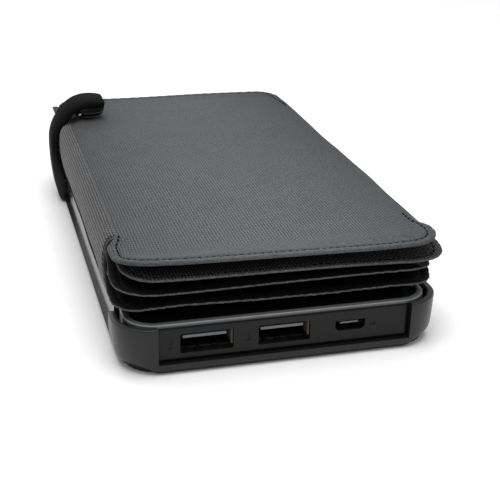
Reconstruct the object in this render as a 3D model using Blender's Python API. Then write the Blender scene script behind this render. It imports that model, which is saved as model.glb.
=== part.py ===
"""A folded solar charger: a power bank with four solar leaves folded on its top.

The power bank lies flat, its ports facing -Y.  Four fabric-covered solar leaves are
folded on it like an accordion: leaf_4 is fixed to the case, leaf_3 turns at the right,
leaf_2 at the left of leaf_3, and leaf_1, the cover, at the right of leaf_2.  A flap on
the cover hides the left side of the stack, and a strap from the left side of the case
snaps onto the cover.

Frame: metres, +Z up, +Y along the length, origin on the floor at the case's centre.
All lengths below are in millimetres and are turned into metres when a mesh is made.
"""

import math

import bmesh
import bpy

MM = 0.001

# ---- driving dimensions, in millimetres ---------------------------------------------
CASE_WIDTH = 82.0          # bumper, side to side
CASE_LENGTH = 154.0        # bumper, front to back
CASE_HEIGHT = 12.3         # top of the corner bumpers
CASE_RADIUS = 9.5          # plan radius of the bumper's corners
GAP = 0.3                  # clearance between pieces that touch on the real object

BUMPER_WALL = 1.8
RAIL_HEIGHT = 2.8          # the bumper's rail below its four side windows
END_WINDOW = 32.2          # half width of the windows at the front and back
SIDE_WINDOW = 61.0         # half length of the windows along the sides
BUMPER_CHAMFER = 0.8       # lower outer edge
BUMPER_TOP_EASE = 0.3      # upper outer edge

BODY_INSET = BUMPER_WALL + GAP     # from the bumper's outside to the body
BODY_WALL = 1.5
BODY_BOTTOM = 1.9
BODY_TOP = 11.5
DECK = 1.05                # thickness of the body's top
PAD_BOTTOM = 3.7           # the body stands proud in each window, above a dark groove
END_PAD_INSET = 1.2        # port face, behind the bumper's outside
SIDE_PAD_INSET = 0.9
PAD_END_GAP = 0.6          # each proud face stops this far short of its window's end
BOTTOM_PLATE = 1.6

BEZEL_INSET = 3.0
BEZEL_BAND = 1.5
BEZEL_TOP = 12.4

USB_A_CENTRES = (-20.1, -0.6)
USB_A_WIDTH = 13.2
USB_A_HEIGHT = 5.2
USB_A_MIDDLE = 7.5         # height of the ports' centre lines
USB_A_DEPTH = 13.0
MICRO_CENTRE = 16.5
MICRO_WIDTH = 7.8
MICRO_HEIGHT = 2.7
MICRO_MIDDLE = 7.7
MICRO_DEPTH = 5.6

BOARD_BOTTOM = 3.2
BOARD_THICKNESS = 1.0
BOARD_BACK = -32.0
CELL_BOTTOM = 2.2
CELL_TOP = 10.0
CELL_HALF_WIDTH = 36.0

SCREW_X = 33.5
SCREW_Y = 69.5
BUTTON_Y = -42.0
BUTTON_LENGTH = 8.0
BUTTON_HEIGHT = 3.0
LIGHT_YS = (-58.0, -55.0, -52.0, -49.0)
SIDE_DETAIL_Z = 7.4

LEAF_LEFT = -39.6
LEAF_RIGHT = 40.9
LEAF_HALF_LENGTH = 72.8
LEAF_RADIUS = 8.0
BACK_PLY = 0.9             # woven cover of each leaf
LEAF_BORDER = 8.0          # fabric border round each solar panel
LEAF_4_BOTTOM = 12.75
LEAF_4_THICKNESS = 2.8
LEAF_THICKNESS = 3.2
LEAF_PITCH = 3.75
LEAF_3_BOTTOM = 16.1

WEB_HALF_LENGTH = 56.0
WEB_DEPTH = 1.1            # how far a fold's web bulges past the leaves' edges
WEB_THICKNESS = 0.5
LEFT_WEB_DEPTH = 0.9

FLAP_FRONT = -57.0
FLAP_BACK = 57.0
FLAP_THICKNESS = 0.9

STRAP_CENTRE = 52.2
STRAP_WIDTH = 12.5
STRAP_THICKNESS = 2.1
ROOT_THICKNESS = 1.8
SNAP_X = -31.0
SNAP_RADIUS = 4.4

SCREW_BOSS_RADIUS = 2.5
SCREW_PILOT_RADIUS = 1.15
STRAP_SCREW_Z = 4.9
STRAP_SCREW_RADIUS = 1.1

CORNER_STEPS = 7           # straight pieces in each rounded corner of an outline
ROUND_STEPS = 20           # straight pieces round a small cylinder

HALF_W = CASE_WIDTH / 2
HALF_L = CASE_LENGTH / 2
INNER_INSET = BODY_INSET + BODY_WALL
CAVITY_TOP = BODY_TOP - DECK
PORT_FACE = -(HALF_L - END_PAD_INSET)
WALL_INSIDE = -(HALF_L - INNER_INSET)

# The leaves are numbered from the cover, leaf_1, down to leaf_4, fixed to the case.
LEAF_BOTTOMS = {
    4: LEAF_4_BOTTOM,
    3: LEAF_3_BOTTOM,
    2: LEAF_3_BOTTOM + LEAF_PITCH,
    1: LEAF_3_BOTTOM + 2 * LEAF_PITCH,
}
LEAF_MIDDLES = {
    number: bottom + (LEAF_4_THICKNESS if number == 4 else LEAF_THICKNESS) / 2
    for number, bottom in LEAF_BOTTOMS.items()
}

# Fold axes (x, z): each lies on the outermost line of its fold, along Y.
FOLD_1 = (LEAF_RIGHT + GAP + WEB_DEPTH, (LEAF_MIDDLES[4] + LEAF_MIDDLES[3]) / 2)
FOLD_2 = (LEAF_LEFT - GAP - LEFT_WEB_DEPTH, (LEAF_MIDDLES[3] + LEAF_MIDDLES[2]) / 2)
FOLD_3 = (LEAF_RIGHT + GAP + WEB_DEPTH, (LEAF_MIDDLES[2] + LEAF_MIDDLES[1]) / 2)
FLAP_AXIS = (-40.3, 26.5)
STRAP_AXIS = (-42.4, 6.15)
TIP_AXIS = (-43.25, 28.5)


# ---- materials ----------------------------------------------------------------------
def material(name, colour, roughness, metallic=0.0):
    """A Principled material in one colour."""
    made = bpy.data.materials.new(name)
    made.use_nodes = True
    shader = made.node_tree.nodes["Principled BSDF"]
    shader.inputs["Base Color"].default_value = (*colour, 1.0)
    shader.inputs["Roughness"].default_value = roughness
    shader.inputs["Metallic"].default_value = metallic
    return made


def make_materials():
    return {
        "black_plastic": material("black_plastic", (0.02, 0.02, 0.022), 0.45),
        "gloss_black": material("gloss_black", (0.01, 0.01, 0.011), 0.12),
        "weave": material("weave", (0.11, 0.115, 0.12), 0.85),
        "lining": material("lining", (0.02, 0.02, 0.02), 0.8),
        "solar": material("solar", (0.01, 0.015, 0.04), 0.2),
        "strap": material("strap", (0.015, 0.015, 0.015), 0.7),
        "steel": material("steel", (0.55, 0.53, 0.5), 0.3, 1.0),
        "board": material("board", (0.01, 0.09, 0.04), 0.5),
        "cell": material("cell", (0.5, 0.52, 0.55), 0.35, 0.6),
        "tongue": material("tongue", (0.35, 0.37, 0.4), 0.5),
        "light_pipe": material("light_pipe", (0.75, 0.8, 0.85), 0.2),
    }


# ---- mesh helpers -------------------------------------------------------------------
def rounded_rectangle(left, right, front, back, radius, steps=CORNER_STEPS):
    """Corner points, anticlockwise seen from above."""
    centres = (
        (right - radius, back - radius, 0),
        (left + radius, back - radius, 90),
        (left + radius, front + radius, 180),
        (right - radius, front + radius, 270),
    )
    points = []
    for x, y, start in centres:
        for step in range(steps + 1):
            angle = math.radians(start + 90 * step / steps)
            points.append((x + radius * math.cos(angle), y + radius * math.sin(angle)))
    return points


def case_outline(inset):
    """The case's outline, moved in by an inset."""
    radius = max(CASE_RADIUS - inset, 1.0)
    return rounded_rectangle(
        inset - HALF_W, HALF_W - inset, inset - HALF_L, HALF_L - inset, radius
    )


def circle(centre, radius, steps=ROUND_STEPS):
    return [
        (
            centre[0] + radius * math.cos(2 * math.pi * step / steps),
            centre[1] + radius * math.sin(2 * math.pi * step / steps),
        )
        for step in range(steps)
    ]


def add_object(name, mesh, look=None, parent=None):
    """Link a mesh as an object.  Its mesh is in the common frame, so under a pivot it
    is moved back by the pivot's own place."""
    obj = bpy.data.objects.new(name, mesh)
    bpy.context.scene.collection.objects.link(obj)
    if look is not None:
        mesh.materials.append(look)
    if parent is not None:
        obj.parent = parent
        obj.location = [-value for value in pivot_place(parent)]
    return obj


def loft(name, rings, look=None, parent=None):
    """A closed solid through rings of the same number of points, with end caps."""
    bm = bmesh.new()
    made = [[bm.verts.new([value * MM for value in point]) for point in ring] for ring in rings]
    count = len(made[0])
    for lower, upper in zip(made, made[1:]):
        for i in range(count):
            j = (i + 1) % count
            bm.faces.new((lower[i], lower[j], upper[j], upper[i]))
    bm.faces.new(reversed(made[0]))
    bm.faces.new(made[-1])
    bmesh.ops.recalc_face_normals(bm, faces=bm.faces)
    mesh = bpy.data.meshes.new(name)
    bm.to_mesh(mesh)
    bm.free()
    return add_object(name, mesh, look, parent)


def plate(name, outline, bottom, top, look=None, parent=None):
    """An outline in X and Y, raised from bottom to top."""
    rings = [[(x, y, z) for x, y in outline] for z in (bottom, top)]
    return loft(name, rings, look, parent)


def box(name, low, high, look=None, parent=None):
    outline = ((low[0], low[1]), (high[0], low[1]), (high[0], high[1]), (low[0], high[1]))
    return plate(name, outline, low[2], high[2], look, parent)


def along_y(name, profile, front, back, look=None, parent=None):
    """A closed profile in X and Z, drawn out along Y."""
    rings = [[(x, y, z) for x, z in profile] for y in (front, back)]
    return loft(name, rings, look, parent)


def along_x(name, profile, left, right, look=None, parent=None):
    """A closed profile in Y and Z, drawn out along X."""
    rings = [[(x, y, z) for y, z in profile] for x in (left, right)]
    return loft(name, rings, look, parent)


def combine(obj, tool, operation):
    """A Boolean modifier with a hidden tool object."""
    tool.hide_render = True
    tool.display_type = "WIRE"
    modifier = obj.modifiers.new(operation.lower(), "BOOLEAN")
    modifier.operation = operation
    modifier.solver = "EXACT"
    modifier.object = tool
    if obj.parent is not None:
        tool.parent = obj.parent
        tool.location = obj.location


def cut(obj, tool):
    combine(obj, tool, "DIFFERENCE")


def join(obj, tool):
    combine(obj, tool, "UNION")


def smooth(obj, angle=35):
    obj.data.shade_smooth()
    obj.data.set_sharp_from_angle(angle=math.radians(angle))


def pivot_place(pivot):
    """Where a pivot is in the common frame: its own place plus its parents'."""
    place = [0.0, 0.0, 0.0]
    while pivot is not None:
        place = [total + value for total, value in zip(place, pivot.location)]
        pivot = pivot.parent
    return place


def pivot(name, axis, parent=None):
    """An empty on a joint's axis, at x, z = axis."""
    empty = bpy.data.objects.new(name, None)
    empty.empty_display_size = 0.01
    bpy.context.scene.collection.objects.link(empty)
    base = pivot_place(parent)
    empty.parent = parent
    empty.location = (axis[0] * MM - base[0], -base[1], axis[1] * MM - base[2])
    return empty


# ---- the case -----------------------------------------------------------------------
def make_bumper(looks):
    """An outer ring with a low rail all round and a tall arm at each corner."""
    heights_and_insets = (
        (0.0, BUMPER_CHAMFER),
        (BUMPER_CHAMFER, 0.0),
        (CASE_HEIGHT - BUMPER_TOP_EASE, 0.0),
        (CASE_HEIGHT, BUMPER_TOP_EASE),
    )
    rings = [[(x, y, z) for x, y in case_outline(inset)] for z, inset in heights_and_insets]
    bumper = loft("bumper_frame", rings, looks["black_plastic"])
    cut(bumper, plate("bumper_bore", case_outline(BUMPER_WALL), -5, CASE_HEIGHT + 5))
    reach = HALF_L + 5
    low, high = RAIL_HEIGHT, CASE_HEIGHT + 5
    cut(bumper, box("end_windows", (-END_WINDOW, -reach, low), (END_WINDOW, reach, high)))
    cut(bumper, box("side_windows", (-reach, -SIDE_WINDOW, low), (reach, SIDE_WINDOW, high)))
    smooth(bumper)


def make_body(looks):
    """The case's body, closed at the top and open below, with its port face at -Y."""
    body = plate("case_body", case_outline(BODY_INSET), BODY_BOTTOM, BODY_TOP,
                 looks["black_plastic"])
    end_x = END_WINDOW - PAD_END_GAP
    end_y = HALF_L - END_PAD_INSET
    join(body, box("end_pads", (-end_x, -end_y, PAD_BOTTOM), (end_x, end_y, BODY_TOP)))
    side_x = HALF_W - SIDE_PAD_INSET
    side_y = SIDE_WINDOW - PAD_END_GAP
    join(body, box("side_pads", (-side_x, -side_y, PAD_BOTTOM), (side_x, side_y, BODY_TOP)))
    cut(body, plate("body_cavity", case_outline(INNER_INSET), -1, CAVITY_TOP))

    for number, (x, y) in enumerate(screw_places(), start=1):
        boss = circle((x, y), SCREW_BOSS_RADIUS)
        join(body, plate(f"boss_{number}", boss, BODY_BOTTOM, CAVITY_TOP + 0.5))
        cut(body, plate(f"pilot_{number}", circle((x, y), SCREW_PILOT_RADIUS), 0, 8.5))

    for number, x in enumerate(USB_A_CENTRES, start=1):
        half_w, half_h = USB_A_WIDTH / 2, USB_A_HEIGHT / 2
        cut(body, box(f"usb_opening_{number}",
                      (x - half_w, PORT_FACE - 2, USB_A_MIDDLE - half_h),
                      (x + half_w, WALL_INSIDE + 1, USB_A_MIDDLE + half_h)))
    cut(body, along_y("micro_opening", micro_profile(0.0), PORT_FACE - 2, WALL_INSIDE + 1))

    right_inside = HALF_W - INNER_INSET - 1
    half_l, half_h = BUTTON_LENGTH / 2 + GAP, BUTTON_HEIGHT / 2 + GAP
    cut(body, box("button_opening",
                  (right_inside, BUTTON_Y - half_l, SIDE_DETAIL_Z - half_h),
                  (HALF_W + 2, BUTTON_Y + half_l, SIDE_DETAIL_Z + half_h)))
    for number, y in enumerate(LIGHT_YS, start=1):
        cut(body, along_x(f"light_opening_{number}", circle((y, SIDE_DETAIL_Z), 1.0),
                          right_inside, HALF_W + 2))
    cut(body, along_x("strap_screw_opening",
                      circle((STRAP_CENTRE, STRAP_SCREW_Z), STRAP_SCREW_RADIUS),
                      -HALF_W - 2, -right_inside))
    smooth(body)


def screw_places():
    return [(x, y) for y in (-SCREW_Y, SCREW_Y) for x in (-SCREW_X, SCREW_X)]


def micro_profile(grow):
    """A micro-USB outline: straight at the top, its lower corners cut off."""
    half_w = MICRO_WIDTH / 2 + grow
    low = MICRO_MIDDLE - MICRO_HEIGHT / 2 - grow
    high = MICRO_MIDDLE + MICRO_HEIGHT / 2 + grow
    cut_x, cut_z = 1.1, 1.2
    return (
        (MICRO_CENTRE - half_w + cut_x, low),
        (MICRO_CENTRE + half_w - cut_x, low),
        (MICRO_CENTRE + half_w, low + cut_z),
        (MICRO_CENTRE + half_w, high),
        (MICRO_CENTRE - half_w, high),
        (MICRO_CENTRE - half_w, low + cut_z),
    )


def make_bottom(looks):
    """The plate that closes the case from below, with four countersunk screw holes."""
    bottom = plate("case_bottom", case_outline(BODY_INSET), 0, BOTTOM_PLATE,
                   looks["black_plastic"])
    for number, (x, y) in enumerate(screw_places(), start=1):
        cut(bottom, plate(f"screw_hole_{number}", circle((x, y), 1.25), -1, BOTTOM_PLATE + 1))
        cut(bottom, plate(f"screw_recess_{number}", circle((x, y), 2.2), -1, 0.95))
    for number, (x, y) in enumerate(screw_places(), start=1):
        outline = [(1.8, 0.15), (1.8, 0.6), (0.85, 0.6), (0.85, 6.5)]
        rings = [[(px, py, z) for px, py in circle((x, y), radius, 12)]
                 for radius, z in outline]
        screw = loft(f"case_screw_{number}", rings, looks["steel"])
        smooth(screw)


def make_bezel(looks):
    """The glossy ring round the body's top."""
    bottom = BODY_TOP + GAP
    heights_and_insets = (
        (bottom, BEZEL_INSET),
        (BEZEL_TOP - 0.3, BEZEL_INSET),
        (BEZEL_TOP, BEZEL_INSET + 0.3),
    )
    rings = [[(x, y, z) for x, y in case_outline(inset)] for z, inset in heights_and_insets]
    bezel = loft("bezel_ring", rings, looks["gloss_black"])
    inside = case_outline(BEZEL_INSET + BEZEL_BAND)
    cut(bezel, plate("bezel_bore", inside, bottom - 1, BEZEL_TOP + 1))
    smooth(bezel)


def make_fixing_pad(looks):
    """The bonded pad that holds leaf_4 on the body."""
    outline = case_outline(BEZEL_INSET + BEZEL_BAND + 3)
    plate("fixing_pad", outline, BODY_TOP + GAP, LEAF_4_BOTTOM - GAP, looks["lining"])


# ---- inside the case ----------------------------------------------------------------
def make_board(looks):
    """The circuit board: narrow between the front bosses, wide behind them."""
    front = WALL_INSIDE + 0.5
    neck, wide = 30.4, 36.9
    step = -66.0
    outline = (
        (-neck, front), (neck, front), (neck, step), (wide, step),
        (wide, BOARD_BACK), (-wide, BOARD_BACK), (-wide, step), (-neck, step),
    )
    plate("circuit_board", outline, BOARD_BOTTOM, BOARD_BOTTOM + BOARD_THICKNESS,
          looks["board"])


def make_ports(looks):
    """Two USB-A sockets and a micro-USB socket, each a metal shell round a tongue."""
    front = WALL_INSIDE + GAP
    for number, x in enumerate(USB_A_CENTRES, start=1):
        back = front + USB_A_DEPTH
        low, high = USB_A_MIDDLE - 2.7, USB_A_MIDDLE + 2.7
        shell = box(f"usb_shell_{number}", (x - 6.8, front, low), (x + 6.8, back, high),
                    looks["steel"])
        cut(shell, box(f"usb_bore_{number}", (x - 6.45, front - 1, low + 0.35),
                       (x + 6.45, back + 1, high - 0.35)))
        inner_low, inner_high = low + 0.65, high - 0.65
        tongue = box(f"usb_tongue_{number}", (x - 5.4, front + 0.4, inner_high - 1.0),
                     (x + 5.4, back - 2, inner_high), looks["tongue"])
        join(tongue, box(f"usb_block_{number}", (x - 6.1, back - 3.5, inner_low),
                         (x + 6.1, back - 0.5, inner_high)))
    back = front + MICRO_DEPTH
    shell = along_y("micro_usb_shell", micro_profile(0.4), front, back, looks["steel"])
    cut(shell, along_y("micro_bore", micro_profile(0.1), front - 1, back + 1))
    middle = MICRO_MIDDLE + 0.25
    tongue = box("micro_usb_tongue", (MICRO_CENTRE - 1.9, front + 0.5, middle - 0.3),
                 (MICRO_CENTRE + 1.9, back - 1, middle + 0.3), looks["tongue"])
    join(tongue, box("micro_block", (MICRO_CENTRE - 2.3, back - 1.6, middle - 0.9),
                     (MICRO_CENTRE + 2.3, back - 0.3, middle + 0.6)))


def make_cells(looks):
    """Two pouch cells side by side along the length, behind the board."""
    front, back = BOARD_BACK + 1.5, SCREW_Y - 3.5
    middle = (front + back) / 2
    spans = ((front, middle - 0.5), (middle + 0.5, back))
    for number, (low, high) in enumerate(spans, start=1):
        outline = rounded_rectangle(-CELL_HALF_WIDTH, CELL_HALF_WIDTH, low, high, 2.0, 3)
        cell = plate(f"battery_cell_{number}", outline, CELL_BOTTOM, CELL_TOP, looks["cell"])
        smooth(cell)


def make_side_controls(looks):
    """The power button, its switch, and four light pipes on the right side."""
    face = HALF_W - SIDE_PAD_INSET
    inside = HALF_W - INNER_INSET
    half_l, half_h = BUTTON_LENGTH / 2, BUTTON_HEIGHT / 2
    slide = bpy.data.objects.new("power_button_slide", None)
    bpy.context.scene.collection.objects.link(slide)
    slide.location = (face * MM, BUTTON_Y * MM, SIDE_DETAIL_Z * MM)
    button = box("power_button", (inside - 0.6, BUTTON_Y - half_l, SIDE_DETAIL_Z - half_h),
                 (face + 0.4, BUTTON_Y + half_l, SIDE_DETAIL_Z + half_h),
                 looks["gloss_black"], slide)
    edge = button.modifiers.new("eased_edges", "BEVEL")
    edge.width = 0.3 * MM
    edge.segments = 2
    box("button_switch", (inside - 4.4, BUTTON_Y - 3, BOARD_BOTTOM + BOARD_THICKNESS + GAP),
        (inside - 1.5, BUTTON_Y + 3, SIDE_DETAIL_Z + 1.6), looks["steel"])
    for number, y in enumerate(LIGHT_YS, start=1):
        light = along_x(f"light_pipe_{number}", circle((y, SIDE_DETAIL_Z), 0.7, 16),
                        inside - 1.2, face - 0.1, looks["light_pipe"])
        smooth(light)


# ---- the leaves ---------------------------------------------------------------------
def leaf_outline(inset=0.0):
    return rounded_rectangle(
        LEAF_LEFT + inset, LEAF_RIGHT - inset,
        inset - LEAF_HALF_LENGTH, LEAF_HALF_LENGTH - inset,
        max(LEAF_RADIUS - inset, 1.0),
    )


def make_leaf(number, faces_up, looks, parent=None):
    """A woven back, a solar panel, and a fabric frame round the panel."""
    bottom = LEAF_BOTTOMS[number]
    thickness = LEAF_4_THICKNESS if number == 4 else LEAF_THICKNESS
    top = bottom + thickness
    if faces_up:
        back_span = (bottom, bottom + BACK_PLY)
        face_span = (bottom + BACK_PLY + GAP, top)
        panel_span = (face_span[0], top - 0.2)
    else:
        back_span = (top - BACK_PLY, top)
        face_span = (bottom, top - BACK_PLY - GAP)
        panel_span = (bottom + 0.2, face_span[1])
    plate(f"leaf_{number}_back", leaf_outline(), *back_span, looks["weave"], parent)
    frame = plate(f"leaf_{number}_frame", leaf_outline(), *face_span, looks["lining"], parent)
    cut(frame, plate(f"leaf_{number}_opening", leaf_outline(LEAF_BORDER),
                     face_span[0] - 1, face_span[1] + 1))
    plate(f"leaf_{number}_panel", leaf_outline(LEAF_BORDER + GAP), *panel_span,
          looks["solar"], parent)


def make_web(number, axis, inner_x, lower, upper, looks):
    """The fabric that joins two leaves at a fold, bulging out to the fold's axis."""
    depth = axis[0] - inner_x
    half_height = (upper - lower) / 2 + 0.4
    outward = 1 if depth > 0 else -1
    steps = 10
    outer, inner = [], []
    for step in range(steps + 1):
        angle = math.radians(-90 + 180 * step / steps)
        across, rise = math.cos(angle), math.sin(angle)
        outer.append((inner_x + depth * across, axis[1] + half_height * rise))
        inner.append((inner_x + (depth - outward * WEB_THICKNESS) * across,
                      axis[1] + (half_height - WEB_THICKNESS) * rise))
    along_y(f"fold_web_{number}", outer + inner[::-1], -WEB_HALF_LENGTH, WEB_HALF_LENGTH,
            looks["weave"])


def thick_line(points, thickness):
    """A closed profile: the points, and the same line moved to its right-hand side."""
    inner = []
    for i, (x, z) in enumerate(points):
        before = points[max(i - 1, 0)]
        after = points[min(i + 1, len(points) - 1)]
        along = (after[0] - before[0], after[1] - before[1])
        length = math.hypot(*along)
        inner.append((x + along[1] / length * thickness, z - along[0] / length * thickness))
    return list(points) + inner[::-1]


def make_flap(looks, parent):
    """The flap over the left side of the stack, hanging from the cover's edge."""
    outer = ((-41.15, 13.1), (-41.5, 16.0), (-41.85, 19.0), (-41.95, 22.0), (-41.8, 24.2),
             (-41.3, 25.5), (-40.6, 26.35))
    flap = along_y("side_flap", thick_line(outer, FLAP_THICKNESS), FLAP_FRONT, FLAP_BACK,
                   looks["weave"], parent)
    smooth(flap)


# ---- the strap and its snap ---------------------------------------------------------
def make_strap(looks, band_pivot, tip_pivot):
    """The strap: a root screwed to the case, a band up the side, and a tip that bends
    over the cover's edge and carries the snap's socket."""
    front = STRAP_CENTRE - STRAP_WIDTH / 2
    back = STRAP_CENTRE + STRAP_WIDTH / 2
    root = ((-41.6, 3.1), (-42.1, 3.6), (-42.2, 4.6), (-42.35, 6.0))
    band = ((-42.4, 6.3), (-43.0, 9.0), (-43.6, 12.0), (-44.1, 15.5), (-44.3, 19.0),
            (-44.3, 23.0), (-43.95, 26.3), (-43.2, 28.3))
    tip = ((-43.05, 28.7), (-42.3, 30.4), (-40.9, 32.0), (-38.8, 33.2), (-36.0, 33.9),
           (-32.0, 34.3), (-28.5, 34.2), (-25.6, 33.7))
    piece = along_y("strap_root", thick_line(root, ROOT_THICKNESS - 0.15), front, back,
                    looks["strap"])
    cut(piece, along_x("root_hole", circle((STRAP_CENTRE, STRAP_SCREW_Z), STRAP_SCREW_RADIUS),
                       -41.6, -38))
    piece = along_y("strap_band", thick_line(band, STRAP_THICKNESS - 0.3), front, back,
                    looks["strap"], band_pivot)
    smooth(piece)
    piece = along_y("strap_tip", thick_line(tip, STRAP_THICKNESS), front, back,
                    looks["strap"], tip_pivot)
    smooth(piece)

    outline = ((-41.5, 0.8), (-36.9, 0.8), (-36.9, 1.9), (-36.2, 1.9))
    rings = [[(x, y, z) for y, z in circle((STRAP_CENTRE, STRAP_SCREW_Z), radius, 12)]
             for x, radius in outline]
    screw = loft("strap_screw", rings, looks["steel"])
    smooth(screw)


def turned(name, centre, outline, look, parent):
    """A solid turned about a vertical line, through (radius, height) pairs."""
    rings = [[(x, y, z) for x, y in circle(centre, radius)] for radius, z in outline]
    made = loft(name, rings, look, parent)
    smooth(made)
    return made


def make_snap(looks, cover_pivot, tip_pivot):
    """A press stud: the socket under the strap's tip and the stud on the cover."""
    centre = (SNAP_X, STRAP_CENTRE)
    cover_top = LEAF_BOTTOMS[1] + LEAF_THICKNESS
    stud_low = cover_top + GAP
    turned("snap_stud", centre,
           ((SNAP_RADIUS - 0.3, stud_low), (SNAP_RADIUS, stud_low + 0.4),
            (SNAP_RADIUS - 0.6, stud_low + 0.9), (1.5, stud_low + 1.1),
            (1.4, stud_low + 1.7), (0.9, stud_low + 1.85)),
           looks["steel"], cover_pivot)
    low = stud_low + 1.45
    socket = turned("snap_socket", centre,
                    ((SNAP_RADIUS - 0.4, low), (SNAP_RADIUS, low + 0.5),
                     (SNAP_RADIUS, low + 2.2), (SNAP_RADIUS - 0.5, low + 2.9)),
                    looks["steel"], tip_pivot)
    cut(socket, plate("socket_bore", circle(centre, 2.5), low - 1, low + 1.2))


# ---- build --------------------------------------------------------------------------
def clear_scene():
    for obj in list(bpy.data.objects):
        bpy.data.objects.remove(obj, do_unlink=True)


def build():
    clear_scene()
    looks = make_materials()

    make_bumper(looks)
    make_body(looks)
    make_bottom(looks)
    make_bezel(looks)
    make_fixing_pad(looks)
    make_board(looks)
    make_ports(looks)
    make_cells(looks)
    make_side_controls(looks)

    leaf_3_pivot = pivot("fold_1_axis", FOLD_1)
    leaf_2_pivot = pivot("fold_2_axis", FOLD_2, leaf_3_pivot)
    leaf_1_pivot = pivot("fold_3_axis", FOLD_3, leaf_2_pivot)
    flap_pivot = pivot("flap_axis", FLAP_AXIS, leaf_1_pivot)
    band_pivot = pivot("strap_axis", STRAP_AXIS)
    tip_pivot = pivot("strap_tip_axis", TIP_AXIS, band_pivot)

    make_leaf(4, True, looks)
    make_leaf(3, False, looks, leaf_3_pivot)
    make_leaf(2, True, looks, leaf_2_pivot)
    make_leaf(1, False, looks, leaf_1_pivot)
    right, left = LEAF_RIGHT + GAP, LEAF_LEFT - GAP
    make_web(1, FOLD_1, right, LEAF_MIDDLES[4], LEAF_MIDDLES[3], looks)
    make_web(2, FOLD_2, left, LEAF_MIDDLES[3], LEAF_MIDDLES[2], looks)
    make_web(3, FOLD_3, right, LEAF_MIDDLES[2], LEAF_MIDDLES[1], looks)
    make_flap(looks, flap_pivot)
    make_strap(looks, band_pivot, tip_pivot)
    make_snap(looks, leaf_1_pivot, tip_pivot)
    bpy.context.view_layer.update()


build()
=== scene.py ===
"""Looks of the folded solar charger: fabric leaves, moulded case, strap and press stud.

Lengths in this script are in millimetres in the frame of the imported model: +Z up, +Y
away from the ports, origin under the case's middle.  They are turned into metres when a
mesh is made.
"""

import math
from bisect import bisect

import bmesh
import bpy
from mathutils import Matrix, Vector


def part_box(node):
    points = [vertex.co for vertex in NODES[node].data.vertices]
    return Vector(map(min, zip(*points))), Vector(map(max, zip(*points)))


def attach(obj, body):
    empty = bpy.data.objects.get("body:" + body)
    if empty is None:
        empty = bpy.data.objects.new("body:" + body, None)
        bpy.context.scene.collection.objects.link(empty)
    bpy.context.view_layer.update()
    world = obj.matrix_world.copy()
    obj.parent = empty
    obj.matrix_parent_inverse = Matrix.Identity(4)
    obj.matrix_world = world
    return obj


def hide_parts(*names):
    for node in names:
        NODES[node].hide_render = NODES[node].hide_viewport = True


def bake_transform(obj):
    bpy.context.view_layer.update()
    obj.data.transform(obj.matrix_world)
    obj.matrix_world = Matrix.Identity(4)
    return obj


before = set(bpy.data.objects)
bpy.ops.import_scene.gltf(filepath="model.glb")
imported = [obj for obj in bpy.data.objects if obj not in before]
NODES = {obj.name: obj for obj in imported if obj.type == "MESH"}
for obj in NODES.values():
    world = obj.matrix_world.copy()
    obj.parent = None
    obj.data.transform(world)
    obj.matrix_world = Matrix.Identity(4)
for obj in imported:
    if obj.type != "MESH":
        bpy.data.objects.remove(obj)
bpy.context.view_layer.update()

MM = 0.001


def node_box(name):
    """A CAD node's lowest and highest corners, in millimetres."""
    low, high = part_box(name)
    return [value / MM for value in low], [value / MM for value in high]


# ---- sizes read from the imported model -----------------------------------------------
BUMPER_HIGH = node_box("bumper_frame")[1]
BODY_LOW, BODY_HIGH = node_box("case_body")
BEZEL_TOP = node_box("bezel_ring")[1][2]
LEAVES = (1, 2, 3, 4)      # counted from the cover down
BACK_BOX, FACE_BOX, PANEL_BOX = (
    {number: node_box(f"leaf_{number}_{part}") for number in LEAVES}
    for part in ("back", "frame", "panel"))
FLAP_LOW, FLAP_HIGH = node_box("side_flap")
ROOT_LOW, ROOT_HIGH = node_box("strap_root")
STUD_LOW, STUD_HIGH = node_box("snap_stud")
SOCKET_LOW, SOCKET_HIGH = node_box("snap_socket")

# ---- sizes of the fine shapes, in millimetres ---------------------------------------
LEAF_REACH = BACK_BOX[1][1][1] - 0.5
LEAF_RADIUS = 8.0
FLANGE = {1: 1.0, 2: 0.7, 3: 0.52, 4: 0.55}    # thickness of a leaf's stitched edge
STITCH_INSET = 2.2         # stitch line, from the leaf's edge
STITCH_PITCH = 1.75
STITCH_LENGTH = 1.25
THREAD_SHARES = (0, 0.2, 0.5, 0.8, 1)          # along a stitch: where its rings are,
THREAD_LIFTS = (-0.1, 0.05, 0.1, 0.05, -0.1)   # how far they stand up
THREAD_RADII = (0.14, 0.28, 0.32, 0.28, 0.14)  # and their radii
GROOVE_DEPTH, GROOVE_WIDTH = 0.45, 0.5         # the stitches pull the cloth in
PAD_START = 2.7            # the padding begins just inside the stitches
PAD_FULL = 7.0
RIM_SHARE = 0.42           # a flange's rim is rounded by this share of its thickness,
ROUND_OVER = 1.4           # and a fold's by this radius
PANEL_INSET, PANEL_RECESS = 8.1, 0.45          # the recess that the solar panel lies in
# The folds run along the middle of the long sides and end over this stretch of y.
LEFT_FOLD_END = (53.0, 57.5)
RIGHT_FOLD_END = (56.0, 63.0)
BUMPER_WALL = 1.8
BUMPER_RADIUS = 9.5


# ---- small helpers ------------------------------------------------------------------
def smoothstep(value, low, high):
    t = min(max((value - low) / (high - low), 0.0), 1.0)
    return t * t * (3 - 2 * t)


def mix(a, b, t):
    return a + (b - a) * t


def scatter(index):
    """A repeatable value from -1 to 1 that looks random."""
    return 2 * (math.sin(index * 12.9898) * 43758.5453 % 1.0) - 1


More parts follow.
